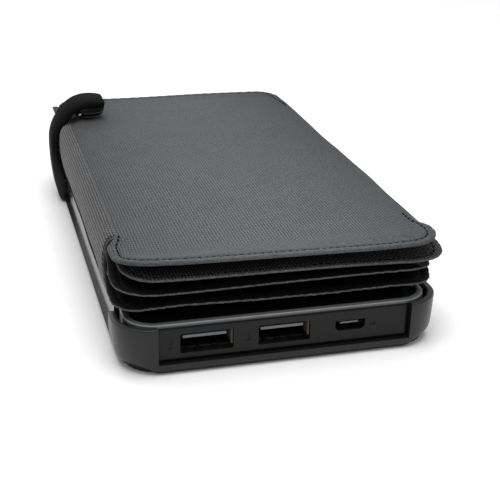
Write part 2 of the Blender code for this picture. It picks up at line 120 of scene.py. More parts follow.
def through(points, value):
    """A smooth curve through (position, height) points."""
    if value <= points[0][0]:
        return points[0][1]
    last = len(points) - 1
    if value >= points[last][0]:
        return points[last][1]
    k = max(i for i in range(last) if points[i][0] <= value)
    span = points[k + 1][0] - points[k][0]

    def slope(i):
        before, after = points[max(i - 1, 0)], points[min(i + 1, last)]
        return (after[1] - before[1]) / (after[0] - before[0]) * span

    t = (value - points[k][0]) / span
    return (((2 * t - 3) * t * t + 1) * points[k][1] + (3 - 2 * t) * t * t * points[k + 1][1]
            + ((t - 2) * t + 1) * t * slope(k) + (t - 1) * t * t * slope(k + 1))


def mesh_object(name, vertices, faces, look, angle=40):
    """A smooth-shaded mesh object from millimetre vertices."""
    mesh = bpy.data.meshes.new(name)
    mesh.from_pydata([[value * MM for value in point] for point in vertices], [], faces)
    mesh.validate()
    mesh.update()
    tidy = bmesh.new()
    tidy.from_mesh(mesh)
    bmesh.ops.recalc_face_normals(tidy, faces=tidy.faces)
    tidy.to_mesh(mesh)
    tidy.free()
    mesh.materials.append(LOOKS[look])
    mesh.shade_smooth()
    mesh.set_sharp_from_angle(angle=math.radians(angle))
    obj = bpy.data.objects.new(name, mesh)
    bpy.context.scene.collection.objects.link(obj)
    return obj


def loft(name, rings, look, closed=False, angle=40):
    """A skin through rings of equally many points: capped, or closed on itself."""
    count = len(rings[0])
    vertices = [point for ring in rings for point in ring]
    faces = []
    last = len(rings) if closed else len(rings) - 1
    for k in range(last):
        a, b = k * count, ((k + 1) % len(rings)) * count
        for i in range(count):
            j = (i + 1) % count
            faces.append((a + i, a + j, b + j, b + i))
    if not closed:
        faces.append(tuple(reversed(range(count))))
        faces.append(tuple(range((len(rings) - 1) * count, len(rings) * count)))
    return mesh_object(name, vertices, faces, look, angle)


def quarter(cx, cy, radius, start, count, extra=0):
    """Points round a quarter circle, anticlockwise from a heading in degrees."""
    turns = [math.radians(start + 90 * i / count) for i in range(count + extra)]
    return [(cx + radius * math.cos(turn), cy + radius * math.sin(turn)) for turn in turns]


def rounded_rectangle(left, right, front, back, radius, step=2.0, arc=12):
    """Points round a rectangle, from the middle of the front, anticlockwise."""
    def run(a, b):
        count = max(int(round(math.dist(a, b) / step)), 1)
        return [(mix(a[0], b[0], i / count), mix(a[1], b[1], i / count)) for i in range(count)]

    middle = (left + right) / 2
    x0, x1, y0, y1 = left + radius, right - radius, front + radius, back - radius
    points = run((middle, front), (x1, front)) + quarter(x1, y0, radius, -90, arc)
    points += run((right, y0), (right, y1)) + quarter(x1, y1, radius, 0, arc)
    points += run((x1, back), (x0, back)) + quarter(x0, y1, radius, 90, arc)
    points += run((left, y1), (left, y0)) + quarter(x0, y0, radius, 180, arc)
    return points + run((x0, front), (middle, front))


def apply_modifiers(obj):
    """Turn an object's modifiers into its mesh."""
    depsgraph = bpy.context.evaluated_depsgraph_get()
    made = bpy.data.meshes.new_from_object(obj.evaluated_get(depsgraph))
    obj.modifiers.clear()
    obj.data = made


def combine(obj, tools, operation="DIFFERENCE"):
    """Subtract each tool from an object, or join it on, and remove the tools."""
    for tool in tools:
        modifier = obj.modifiers.new("combine", "BOOLEAN")
        modifier.operation = operation
        modifier.solver = "EXACT"
        modifier.object = tool
    bpy.context.view_layer.update()
    apply_modifiers(obj)
    for tool in tools:
        bpy.data.objects.remove(tool, do_unlink=True)


def soften(obj, width, segments=2, angle=35):
    """Bevel an object's sharp edges by a width in millimetres."""
    modifier = obj.modifiers.new("soft_edges", "BEVEL")
    modifier.width = width * MM
    modifier.segments = segments
    modifier.limit_method = "ANGLE"
    modifier.angle_limit = math.radians(angle)
    modifier.harden_normals = True
    bpy.context.view_layer.update()
    apply_modifiers(obj)


def span(sign, near, far):
    """The two distances on one side of the middle, lower first."""
    return sorted((sign * near, sign * far))


def paint(obj, looks, choose):
    """Add looks after an object's first, and give each face the one it is chosen for."""
    for look in looks:
        obj.data.materials.append(LOOKS[look])
    for face in obj.data.polygons:
        face.material_index = choose(face)


def block(name, low, high, look):
    x0, y0, z0 = low
    x1, y1, z1 = high
    rings = [[(x0, y0, z), (x1, y0, z), (x1, y1, z), (x0, y1, z)] for z in (z0, z1)]
    return loft(name, rings, look)


def place(obj, body, slot, *replaced):
    """Ride on a body, and stand for CAD nodes. The slot is not used."""
    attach(obj, body)
    if replaced:
        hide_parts(*replaced)
    return obj


# ---- material helpers ---------------------------------------------------------------
class Value:
    """What a node puts out, so that its sums can be written with ordinary signs."""

    def __init__(self, look, socket):
        self.look, self.socket = look, socket

    def __add__(self, other):
        return self.look.math("ADD", self, other)

    def __sub__(self, other):
        return self.look.math("SUBTRACT", self, other)

    def __rsub__(self, other):
        return self.look.math("SUBTRACT", other, self)

    def __mul__(self, other):
        return self.look.math("MULTIPLY", self, other)

    def __truediv__(self, other):
        return self.look.math("DIVIDE", self, other)

    def __abs__(self):
        return self.look.math("ABSOLUTE", self)


class Tree:
    """The nodes of a material or a world, written as short steps."""

    def __init__(self, owner):
        owner.use_nodes = True
        self.nodes, self.links = owner.node_tree.nodes, owner.node_tree.links

    def link(self, source, target):
        """Feed a socket from a Value, or set it to a colour or a number."""
        if isinstance(source, Value):
            self.links.new(source.socket, target)
        else:
            target.default_value = (*source, 1.0) if isinstance(source, tuple) else source

    def math(self, operation, a, b=0.0):
        node = self.nodes.new("ShaderNodeMath")
        node.operation = operation
        self.link(a, node.inputs[0])
        self.link(b, node.inputs[1])
        return Value(self, node.outputs[0])

    def split(self, vector):
        node = self.nodes.new("ShaderNodeSeparateXYZ")
        self.links.new(vector, node.inputs[0])
        return [Value(self, socket) for socket in node.outputs]


class Shader(Tree):
    """A node material."""

    def __init__(self, name, roughness=0.5, metallic=0.0, specular=0.5):
        self.material = bpy.data.materials.new(name)
        super().__init__(self.material)
        self.inputs = self.nodes["Principled BSDF"].inputs
        self.set(("Roughness", roughness), ("Metallic", metallic),
                 ("Specular IOR Level", specular))
        self.place = self.nodes.new("ShaderNodeTexCoord").outputs["Object"]

    def set(self, *settings):
        for name, value in settings:
            self.inputs[name].default_value = value

    def clamp(self, value, low, high):
        return self.math("MINIMUM", self.math("MAXIMUM", value, low), high)

    def waves(self, value):
        """Rises and falls between 0 and 1 once for each whole step of a value."""
        return abs(self.math("SINE", value * math.pi))

    def axes(self):
        """The three coordinates, in millimetres."""
        scaled = self.nodes.new("ShaderNodeVectorMath")
        scaled.operation = "SCALE"
        self.links.new(self.place, scaled.inputs[0])
        scaled.inputs["Scale"].default_value = 1 / MM
        return self.split(scaled.outputs[0])

    def noise(self, size, detail=3.0, roughness=0.6):
        """Noise whose features are about size millimetres across."""
        node = self.nodes.new("ShaderNodeTexNoise")
        for name, value in (("Scale", 1 / (size * MM)), ("Detail", detail),
                            ("Roughness", roughness)):
            node.inputs[name].default_value = value
        self.links.new(self.place, node.inputs["Vector"])
        return Value(self, node.outputs["Fac"])

    def ramp(self, value, *stops):
        """Colours at positions along a value from 0 to 1."""
        node = self.nodes.new("ShaderNodeValToRGB")
        for element, (position, colour) in zip(node.color_ramp.elements, stops):
            element.position = position
            element.color = (*colour, 1.0)
        self.link(value, node.inputs[0])
        return Value(self, node.outputs["Color"])

    def range(self, value, low, high):
        """Spread a value from 0 to 1 over a new range."""
        node = self.nodes.new("ShaderNodeMapRange")
        for name, source in (("Value", value), ("To Min", low), ("To Max", high)):
            self.link(source, node.inputs[name])
        return Value(self, node.outputs["Result"])

    def blend(self, factor, a, b, kind="MIX"):
        node = self.nodes.new("ShaderNodeMix")
        node.data_type = "RGBA"
        node.blend_type = kind
        for value, socket in zip((factor, a, b), (0, 6, 7)):
            self.link(value, node.inputs[socket])
        return Value(self, node.outputs[2])

    def finish(self, colour, height, depth, roughness=None):
        """Set the colour, a bump of a depth in millimetres, and perhaps the roughness."""
        self.link(colour, self.inputs["Base Color"])
        if roughness:
            self.link(roughness, self.inputs["Roughness"])
        node = self.nodes.new("ShaderNodeBump")
        node.inputs["Strength"].default_value = 1.0
        node.inputs["Distance"].default_value = depth * MM
        self.links.new(height.socket, node.inputs["Height"])
        self.links.new(node.outputs["Normal"], self.inputs["Normal"])
        return self.material


def grey(value, warm=0.0):
    """A grey, a little warm or cool."""
    return (value * (1 + warm), value, value * (1 - warm))


WANDER = 0.5               # how far the ribs of the weave stray, in millimetres
FLAT_HEIGHT = 0.45         # the level that pressed ribs fade to
RAMP_LOW, RAMP_HIGH = 0.39, 0.86    # the weave's heights that are all dark and all light


def weave(name, light, dark, rib=0.8, cross=1.25, depth=0.2, side_lean=1.0, fade=True,
          sheen=0.08, painted_shade=None, rib_weight=0.6):
    """Ribbed cloth: ribs along Y, broken by cross threads in a stagger.

    Near a leaf's stitched ends the ribs are pressed flat and only a fine grain is left.
    """
    look = Shader(name, roughness=0.85, specular=0.2)
    x, y, z = look.axes()
    ribs = (x + z * side_lean + (look.noise(2.2, 2.0) - 0.5) * WANDER) / rib
    threads = y / cross + look.math("FLOOR", ribs) * 0.37
    height = look.waves(ribs) * look.range(look.waves(threads), 0.25, 1.0)
    if fade:
        keep = look.clamp(((LEAF_REACH - 3.0) - abs(y)) / 9.0, 0.15, 1.0)
        keep = keep * look.math("MINIMUM", 0.85 - y / 110.0, 1.0)
        height = (height - FLAT_HEIGHT) * keep + FLAT_HEIGHT
    value = height * rib_weight + look.noise(0.42, 3.0, 0.75) * (1.18 - 0.8 * rib_weight)
    base = look.ramp(value, (RAMP_LOW, dark), (RAMP_HIGH, light))
    tone_and_shade = look.ramp(look.noise(14.0, 3.0), (0.3, grey(0.9)), (0.7, grey(1.0)))
    # The random tone is then darkened where less light falls on the real cloth: painted shade.
    if painted_shade == "top":      # painted shade: darker towards the sides and the back
        side = look.math("POWER", abs(x) / 42.0, 2.0)
        tone_and_shade = look.blend(side * 0.42 + (y + 72.0) / 144.0 * 0.26, tone_and_shade, grey(0.0))
    elif painted_shade == "side":   # painted shade: darker towards the top
        tone_and_shade = look.blend((z - 14.0) * 0.035, tone_and_shade, grey(0.0))
    look.set(("Sheen Weight", sheen), ("Sheen Roughness", 0.5))
    return look.finish(look.blend(1.0, base, tone_and_shade, "MULTIPLY"), value, depth)


def coated(name, tone, grain=0.5, depth=0.05, roughness=0.6, specular=0.3, low_tone=None):
    """Smooth coated cloth with a faint grain; with a low tone it turns lighter towards the
    floor.
    """
    look = Shader(name, roughness=roughness, specular=specular)
    fine = look.noise(grain, 4.0, 0.65)
    colour = look.ramp(fine, (0.3, grey(tone * 0.7)), (0.75, grey(tone * 1.3, 0.02)))
    if low_tone:
        low_colour = look.ramp(fine, (0.3, grey(low_tone * 0.8)), (0.75, grey(low_tone * 1.2)))
        amount = look.clamp((20.0 - look.axes()[2]) / 14.0, 0.0, 1.0)
        colour = look.blend(amount, colour, low_colour)
    return look.finish(colour, fine, depth, look.range(fine, roughness - 0.08, roughness + 0.12))


def moulded(name, tone, roughness, grain=0.28, depth=0.02, warm=0.0, specular=0.5):
    """Moulded plastic with a fine spark texture."""
    look = Shader(name, roughness=roughness, specular=specular)
    fine = look.noise(grain, 3.0, 0.6)
    colour = look.ramp(look.noise(20.0, 2.0), (0.3, grey(tone * 0.92, warm)),
                       (0.7, grey(tone, warm)))
    return look.finish(colour, fine, depth, look.range(fine, roughness - 0.07, roughness + 0.07))


def metal(name, tone, roughness, warm=0.03):
    look = Shader(name, roughness=roughness, metallic=1.0)
    fine = look.noise(0.6, 4.0)
    colour = look.ramp(fine, (0.3, grey(tone * 0.85, warm)), (0.7, grey(tone, warm)))
    return look.finish(colour, fine, 0.01, look.range(fine, roughness - 0.06, roughness + 0.1))


def cut_edge(name, light, dark):
    """The raw edge of stitched fabric: pale fibres between dark layers."""
    look = Shader(name, roughness=0.95, specular=0.2)
    fine = look.noise(0.45, 4.0, 0.75)
    return look.finish(look.ramp(fine, (0.32, dark), (0.68, light)), fine, 0.15)


def solar(name):
    """Dark cells under a clear laminate, with fine fingers and busbars, and gaps between."""
    look = Shader(name, roughness=0.12, specular=0.5)
    look.set(("Coat Weight", 0.6), ("Coat Roughness", 0.08))
    x, y = look.axes()[:2]

    def line(position, pitch, width, offset=0.0):
        """1 within width of each line at a pitch, else 0."""
        off_centre = abs(look.math("FRACT", (position + offset) / pitch) - 0.5)
        return look.math("LESS_THAN", off_centre, width / pitch / 2)

    lines = look.math("MAXIMUM", line(x, 1.9, 0.12), line(y, 16.2, 0.7, 1.0))
    cells = look.ramp(look.noise(9.0, 4.0), (0.35, (0.006, 0.009, 0.03)),
                      (0.65, (0.012, 0.02, 0.06)))
    with_lines = look.blend(lines, cells, (0.32, 0.33, 0.36))
    colour = look.blend(line(y, 32.4, 1.3, 9.1), with_lines, (0.006, 0.006, 0.007))
    return look.finish(colour, look.noise(1.2, 2.0), 0.01)


def circuit(name):
    look = Shader(name, roughness=0.35)
    tracks = look.noise(2.5, 1.0)
    colour = look.ramp(tracks, (0.48, (0.008, 0.07, 0.03)), (0.52, (0.015, 0.13, 0.06)))
    return look.finish(colour, tracks, 0.03)


def foil(name):
    look = Shader(name, roughness=0.35, metallic=0.7)
    creases = look.noise(8.0, 4.0, 0.7)
    return look.finish(look.ramp(creases, (0.3, grey(0.45)), (0.7, grey(0.62))), creases, 0.15)


def make_looks():
    cover_light, cover_dark = (0.168, 0.178, 0.185), (0.010, 0.011, 0.012)
    return {
        "cover": weave("cover_weave", cover_light, cover_dark, painted_shade="top", rib_weight=0.4),
        "flap": weave("flap_weave", (0.222, 0.226, 0.222), (0.001, 0.001, 0.001), rib=0.75,
                      side_lean=0.4, fade=False, painted_shade="side"),
        "inner_weave": weave("inner_weave", grey(0.085), grey(0.002), fade=False, sheen=0.0),
        "lining": coated("black_lining", 0.006, specular=0.12),
        # black felt, also used on the side flap as painted shade
        "felt": coated("pad_felt", 0.003, roughness=0.9, specular=0.03),
        "edge": cut_edge("cut_edge", grey(0.14, 0.05), grey(0.025, 0.04)),
        "ply": coated("flap_ply", 0.05, 0.3, 0.05, 0.8, 0.1),
        "thread": coated("black_thread", 0.004, 0.2, 0.05, 0.8, 0.05),
        "bumper": moulded("bumper_plastic", 0.007, 0.35, warm=-0.05, specular=0.38),
        "rail_side": moulded("rail_side_plastic", 0.012, 0.28),
        # a lighter copy of the bumper plastic for its top faces: painted reflection of the
        # bright backdrop
        "bumper_top": moulded("bumper_top_plastic", 0.016, 0.4, specular=0.3),
        "body": moulded("body_plastic", 0.006, 0.42, warm=0.03, specular=0.24),
        "side": moulded("side_gloss", 0.012, 0.12, warm=0.03, depth=0.003, specular=0.95),
        # the grey base colour of this gloss black ring is painted reflection
        "bezel": moulded("bezel_gloss", 0.08, 0.3, warm=-0.04, depth=0.004, specular=0.7),
        # a lighter copy for the bezel's front edge: painted highlight
        "bezel_edge": moulded("bezel_edge_gloss", 0.17, 0.25, warm=-0.04, depth=0.004),
        "solar": solar("solar_cells"),
        "strap": coated("strap_leather", 0.008, 0.6, 0.06, 0.6, 0.01, 0.035),
        "steel": metal("plated_steel", 0.6, 0.28),
        # darker steel for the port shells: painted shade inside the ports
        "steel_painted_shade": metal("shell_painted_shade", 0.2, 0.3, 0.12),
        "snap": coated("snap_black", 0.006, 0.6, 0.01, 0.4, 0.3),
        "ring": metal("snap_ring", 0.12, 0.3, 0.25),
        "bright": metal("bright_metal", 0.75, 0.2),
        # light grey on the port tongues' front bars: painted highlight of a lit edge on black
        # tongues
        "tongue": moulded("tongue_plastic", 0.17, 0.4, warm=-0.08),
        # near-black contact springs: painted shade deep inside the ports
        "spring": metal("contact_spring_painted_shade", 0.02, 0.5),
        # brownish light strip at the USB openings' right walls: painted highlight of the lit
        # shell wall
        "port_wall": moulded("port_wall_brown", 0.07, 0.5, warm=0.25, specular=0.3),
        "board": circuit("circuit_board"),
        "cell": foil("cell_foil"),
        "light": moulded("light_pipe", 0.7, 0.25),
        "button": moulded("button_gloss", 0.02, 0.25, depth=0.004),
    }


LOOKS = make_looks()


# ---- the leaves ---------------------------------------------------------------------
# Each leaf is a padded panel with a flat stitched edge at its two ends.  Along the front
# edge the flange's underside follows these heights; the first number is the distance
# along the edge from the middle of the front, negative to the left, and on round the
# corners.  The corners stand out a little past the folds, as ears.
EDGE_LEFT, EDGE_RIGHT = BACK_BOX[1][0][0], BACK_BOX[1][1][0]
LEAF_MIDDLE = (EDGE_LEFT + EDGE_RIGHT) / 2
EARS = {1: (-41.0, 42.4), 2: (-39.9, 44.6), 3: (-41.6, 41.3), 4: (-42.0, 41.7)}
REAR_EARS = {1: (-39.6, 39.7), 2: (-41.8, 39.7), 3: (-40.5, 39.7), 4: (-40.0, 40.5)}
REAR_LIFT = {1: 0.9, 2: 0.5, 3: 0.3, 4: 0.0}   # the stack is a little thicker at the back
FLANGE_HEIGHTS = {
    1: ((-60, 25.2), (-47, 25.4), (-40, 26.4), (-34, 26.7), (-24, 26.3), (12, 25.7),
        (24, 25.5), (34, 25.6), (42, 25.9), (50, 26.0), (60, 25.6)),
    2: ((-60, 24.0), (-46, 24.6), (-41, 23.6), (-34, 22.6), (-24, 22.2), (12, 21.9),
        (30, 21.4), (37, 21.1), (43, 21.4), (49, 22.3), (60, 21.8)),
    3: ((-62, 25.0), (-50, 25.0), (-48, 23.4), (-46.3, 20.9), (-44, 20.2), (-39, 19.5),
        (-30, 18.8), (0, 19.1), (36, 19.1), (42, 18.3), (52, 18.0)),
    4: ((-62, 18.6), (-52, 18.3), (-49.5, 16.6), (-47, 15.6), (-43.5, 15.7), (-40, 15.1),
        (-37, 14.9), (-34.5, 15.0), (-32, 15.4), (-26, 15.6), (-10, 15.2),
        (12, 15.0), (30, 15.2), (37, 14.9), (43, 14.9), (46, 16.0), (50, 17.6), (62, 17.9)),
}
FACES_UP = {1: False, 2: True, 3: False, 4: True}
FRAYED = {1: 0.02, 2: 0.04, 3: 0.08, 4: 0.13}
TOP_CROWN = {1: 0.45, 2: 0.1, 3: 0.1, 4: 0.1}
ALONG_SIDE, ALONG_END, ROUND_CORNER = 120, 136, 26
TOP_INSETS = (39.0, 32, 25, 19, 14, 11, 9, 8.1, 7.9, 7, 6, 5.2, 4.5, 4, 3.5, 3.1, 2.8, 2.5,
              2.35, 2.2, 2.05, 1.9, 1.5, 0.9, 0.4, 0.1)


def leaf_outline(inset):
    """Points round a leaf, moved in by an inset: the same count and order at any inset."""
    left, right = EDGE_LEFT + inset, EDGE_RIGHT - inset
    reach = LEAF_REACH - inset
    radius = max(LEAF_RADIUS - inset, 0.5)
    corners = ((right - radius, radius - reach, -90), (right - radius, reach - radius, 0),
               (left + radius, reach - radius, 90), (left + radius, radius - reach, 180))
    arcs = [quarter(cx, cy, radius, start, ROUND_CORNER, 1) for cx, cy, start in corners]
    points = []
    for k, arc in enumerate(arcs):
        points += arc
        a, b = arc[-1], arcs[(k + 1) % 4][0]
        count = ALONG_SIDE if k % 2 == 0 else ALONG_END
        points += [(mix(a[0], b[0], i / count), mix(a[1], b[1], i / count))
                   for i in range(1, count)]
    return points


def edge_position(x, y):
    """Distance along the edge from the middle of the nearer end, for a point on it."""
    side = 1 if x > LEAF_MIDDLE else -1
    corner_x = EDGE_RIGHT - LEAF_RADIUS if side > 0 else EDGE_LEFT + LEAF_RADIUS
    past_x, past_y = side * (x - corner_x), abs(y) - (LEAF_REACH - LEAF_RADIUS)
    if past_y <= 0 < past_x:
        run = math.pi / 2 * LEAF_RADIUS - past_y
    elif past_x <= 0:
        run = past_x
    else:
        run = math.atan2(past_x, past_y) * LEAF_RADIUS
    return corner_x + side * run


def flange_underside(number, position, y):
    if y < 0:
        return through(FLANGE_HEIGHTS[number], position)
    if number == 1:
        return 26.15 + 0.12 * math.sin(0.11 * position)
    if number == 2:
        return 22.3 + 5.0 * smoothstep(-position, 34.0, 45.0)
    middle = through(FLANGE_HEIGHTS[number], 5.0)
    return middle + 0.3 * math.sin(0.11 * position + number) + 0.12 * math.sin(0.37 * position)


PRESS = 0.9                # how deep the strap presses into the cover's edge
STRAP_MIDDLE = (ROOT_LOW[1] + ROOT_HIGH[1]) / 2


def strap_press(y):
    """1 under the strap, 0 away from it."""
    return 1 - smoothstep(abs(y - STRAP_MIDDLE), 6.5, 11.0)


def rounded_edge(inset, radius):
    """How far a surface drops at an inset from an edge that is rounded by a radius."""
    left = radius - min(inset, radius)
    return radius - math.sqrt(radius ** 2 - left ** 2)


def leaf_skin(number):
    """The stitched fabric of one leaf, with a recess on its face for the solar panel."""
    low = min(BACK_BOX[number][0][2], FACE_BOX[number][0][2]) + 0.05
    high = max(BACK_BOX[number][1][2], FACE_BOX[number][1][2])
    outer = leaf_outline(0.0)
    outlines = {inset: leaf_outline(inset) for inset in (*TOP_INSETS, 0.0)}
    facing = 1 if FACES_UP[number] else -1

    def point(i, inset, side):
        """side is 1 for the upper skin, -1 for the lower and 0 for the very edge."""
        edge_x, edge_y = outer[i]
        x, y = outlines[inset][i]
        position = edge_position(edge_x, edge_y)
        fold_end = RIGHT_FOLD_END if x > LEAF_MIDDLE else LEFT_FOLD_END
        fold = 1 - smoothstep(abs(edge_y), *fold_end)
        ear_left, ear_right = (EARS if edge_y < 0 else REAR_EARS)[number]
        ear = ear_right - EDGE_RIGHT if x > LEAF_MIDDLE else ear_left - EDGE_LEFT
        near = 1 - smoothstep(inset, 3.0, 10.0)
        x += ear * (1 - fold) * near * smoothstep(abs(edge_x - LEAF_MIDDLE), 30.0, 40.0)
        fray = FRAYED[number] * (1 - smoothstep(inset, 0.0, 0.9)) * (1 - fold)
        x += fray * scatter(i * 1.7 + number)
        y += fray * scatter(i * 2.3 + number)
        under = flange_underside(number, position, edge_y)
        under += 0.5 * fray * scatter(i * 3.1 + number)
        groove = GROOVE_DEPTH * max(1 - abs(inset - STITCH_INSET) / GROOVE_WIDTH, 0)
        rise = smoothstep(inset, PAD_START, PAD_FULL)
        thick = FLANGE[number]
        rim = rounded_edge(inset, RIM_SHARE * thick)
        if side > 0:
            flange = under + thick - rim - groove + 0.05 * math.sin(position * 1.9 + inset)
            crown = TOP_CROWN[number] * (1 - (x / 42) ** 2) * (1 - (y / 74) ** 2)
            pad, hard = high + (0 if FACES_UP[number] else crown), high
        else:
            flange = under + groove + rim
            pad = hard = low
        rounded = hard - side * rounded_edge(inset, ROUND_OVER)
        z = mix(mix(flange, pad, rise), rounded + (pad - hard), fold)
        if side == 0:
            z = mix(under + thick / 2, (low + high) / 2, fold)
        lift = REAR_LIFT[number] * smoothstep(y, -10.0, 60.0) * (1 if side > 0 else 0.6)
        z += lift * (1 - smoothstep(inset, 4.0, 7.9) if side == facing else 1)
        if number == 1:
            y += 0.9 * smoothstep(y, 50.0, 72.0)
            z -= PRESS * strap_press(y) * (1 - smoothstep(x, EDGE_LEFT + 1, EDGE_LEFT + 5))
        if side == facing and inset >= PANEL_INSET:
            z -= PANEL_RECESS * side
        return (x, y, z)

    rings = [[point(i, inset, 1) for i in range(len(outer))] for inset in TOP_INSETS]
    rings.append([point(i, 0.0, 0) for i in range(len(outer))])
    rings += [[point(i, inset, -1) for i in range(len(outer))] for inset in TOP_INSETS[::-1]]
    upper = {1: "cover", 2: "inner_weave", 3: "lining", 4: "lining"}[number]
    skin = loft(f"leaf_{number}_cloth", rings, upper, angle=60)
    edge_ring = len(TOP_INSETS)

    def choose(face):
        ring = min(face.vertices) // len(outer)
        return 1 if ring in (edge_ring - 1, edge_ring) else 2 * (ring > edge_ring)

    paint(skin, ("cover" if number == 1 else "edge", "lining"), choose)
    return skin, rings


def stitches(number, rings):
    """Thread along the stitch line of the flange at both ends, on the upper skin."""
    line = rings[TOP_INSETS.index(STITCH_INSET)]
    vertices, faces = [], []
    sides = 6

    def thread(points):
        base = len(vertices)
        for k, centre in enumerate(points):
            ahead = points[min(k + 1, len(points) - 1)] - points[max(k - 1, 0)]
            across = Vector((-ahead.y, ahead.x, 0)).normalized()
            up = Vector((0, 0, 1))
            radius = THREAD_RADII[k]
            for j in range(sides):
                turn = 2 * math.pi * j / sides
                vertices.append(centre + across * radius * math.cos(turn)
                                + up * radius * 0.8 * math.sin(turn))
        for k in range(len(points) - 1):
            for j in range(sides):
                n = (j + 1) % sides
                faces.append((base + k * sides + j, base + k * sides + n,
                              base + (k + 1) * sides + n, base + (k + 1) * sides + j))

    closed = [Vector(point) for point in line] + [Vector(line[0])]
    lengths = [0.0]
    for a, b in zip(closed, closed[1:]):
        lengths.append(lengths[-1] + (b - a).length)

    def at(distance):
        distance = min(max(distance, 0.0), lengths[-1])
        k = max(0, min(len(lengths) - 2, bisect(lengths, distance) - 1))
        t = (distance - lengths[k]) / max(lengths[k + 1] - lengths[k], 1e-9)
        return closed[k].lerp(closed[k + 1], t)

    for k in range(int(lengths[-1] / STITCH_PITCH)):
        start = k * STITCH_PITCH
        points = [at(start + STITCH_LENGTH * share) for share in THREAD_SHARES]
        if abs(points[2].y) >= LEFT_FOLD_END[0] - 0.5:
            thread([point + Vector((0, 0, lift)) for point, lift in zip(points, THREAD_LIFTS)])
    return mesh_object(f"leaf_{number}_stitches", [tuple(v) for v in vertices], faces,
                       "thread")


def solar_panel(number):
    """The laminated solar panel in a leaf's face, with softened edges."""
    low, high = PANEL_BOX[number]
    face_z, sign = (high[2], 1) if FACES_UP[number] else (low[2], -1)
    levels = ((1.2, -0.9), (0.0, -0.9), (0.0, -0.15), (0.15, 0.0), (1.0, 0.02))
    rings = []
    for inset, drop in levels:
        ring = rounded_rectangle(low[0] + 0.25 + inset, high[0] - 0.25 - inset,
                                 low[1] + 0.25 + inset, high[1] - 0.25 - inset, 2.0,
                                 step=12.0, arc=6)
        rings.append([(x, y, face_z + sign * (drop - 0.1)) for x, y in ring])
    return loft(f"leaf_{number}_solar", rings, "solar")


def build_leaves():
    for number in LEAVES:
        body = "case" if number == 4 else f"leaf_{number}"
        skin, rings = leaf_skin(number)
        place(skin, body, "weave", f"leaf_{number}_back", f"leaf_{number}_frame")
        place(stitches(number, rings), body, "weave")
        place(solar_panel(number), body, "solar", f"leaf_{number}_panel")


# ---- the soft folds, the side flap and the strap ------------------------------------
def outward(points, k):
    """The unit normal of a line of (x, z) points at one of them, on its right."""
    a, b = points[max(k - 1, 0)], points[min(k + 1, len(points) - 1)]
    length = math.hypot(b[0] - a[0], b[1] - a[1])
    return (b[1] - a[1]) / length, -(b[0] - a[0]) / length


def strip(name, outer, thickness, lines, look, wave=0.0, lift=0.0):
    """A bent sheet: its outside follows a profile in X and Z, at stations along Y.

    Each line is (y, a shift of y for a height or None, how far the outside steps in).
    """
    smooth = smooth_profile(outer, 0.6)
    rings = []
    for y, shift, step in lines:
        outside, inside = [], []
        raised = lift * smoothstep(y, -10.0, 60.0)
        pressed = PRESS * strap_press(y) if lift else 0.0
        for k, (x, z) in enumerate(smooth):
            normal = outward(smooth, k)
            sway = wave * math.sin(y * 0.09 + z * 0.35) + 0.5 * wave * math.sin(y * 0.23)
            dy = shift(z) if shift else 0.0
            high = smoothstep(z, 18.0, 26.5)
            dx, dz = 0.6 * pressed * high, (raised - pressed) * high
            for skin, depth in ((outside, step), (inside, thickness)):
                skin.append((x + normal[0] * (depth - sway) + dx, y + dy,
                             z + normal[1] * (depth - sway) + dz))
        rings.append(outside + inside[::-1])
    return loft(name, rings, look, angle=50)


def smooth_profile(points, step):
    """A Catmull-Rom curve through points, sampled about every step."""
    found = []
    for k in range(len(points) - 1):
        p0 = Vector(points[max(k - 1, 0)])
        p1, p2 = Vector(points[k]), Vector(points[k + 1])
        p3 = Vector(points[min(k + 2, len(points) - 1)])
        count = max(int((p2 - p1).length / step), 1)
        for i in range(count):
            t = i / count
            found.append(tuple(0.5 * (2 * p1 + (p2 - p0) * t
                                      + (2 * p0 - 5 * p1 + 4 * p2 - p3) * t ** 2
                                      + (3 * p1 - p0 - 3 * p2 + p3) * t ** 3)))
    found.append(tuple(points[-1]))
    return found


def stations(start, end, step):
    count = int((end - start) / step)
    return [mix(start, end, i / count) for i in range(count + 1)]


def build_folds():
    """The soft fold between each pair of leaves, alternating right, left and right."""
    folds = (
        ("fold_web_1", "case", "leaf_3", 1, 13.1, 18.9, 40.2, 2.2),
        ("fold_web_2", "leaf_3", "leaf_2", -1, 16.8, 22.4, -38.9, 1.9),
        ("fold_web_3", "leaf_2", "leaf_1", 1, 20.5, 26.3, 40.2, 2.2),
    )
    for name, lower, upper, side, z0, z1, x0, depth in folds:
        low, high = node_box(name)
        middle, half = (z0 + z1) / 2, (z1 - z0) / 2
        profile = [
            (x0 + side * depth * math.cos(math.radians(a)) ** 0.5,
             middle + half * math.sin(math.radians(a)))
            for a in range(-80, 81, 16)
        ]
        seam = x0 - side * 2.4
        profile = [(seam, profile[0][1]), *profile, (seam, profile[-1][1])]
        if side > 0:
            profile = profile[::-1]
        ys = stations(low[1] - 0.6, high[1] + 0.6, 1.5)
        web = strip(f"{name}_cloth", profile, 0.6, [(y, None, 0.0) for y in ys],
                    "cover" if side > 0 else "lining", wave=0.12)
        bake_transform(web)
        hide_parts(name)


FLAP_PROFILE = ((-41.2, 13.1), (-41.5, 16.0), (-41.85, 19.0), (-42.0, 22.0), (-41.9, 24.2),
                (-41.45, 25.7), (-40.6, 26.7), (-39.4, 27.15), (-38.0, 27.2))
FLAP_FRONT_LEAN = ((13.0, -0.6), (16.0, 1.5), (20.0, 1.5), (24.0, 0.0), (26.0, 0.8), (27.3, 2.8))
FLAP_PLY = 0.9             # how far the inner ply shows past the outer one at the front
FLAP_HEM_SHADE = 2.2             # height of the black band along the flap's bottom: painted shadow of the gap under it
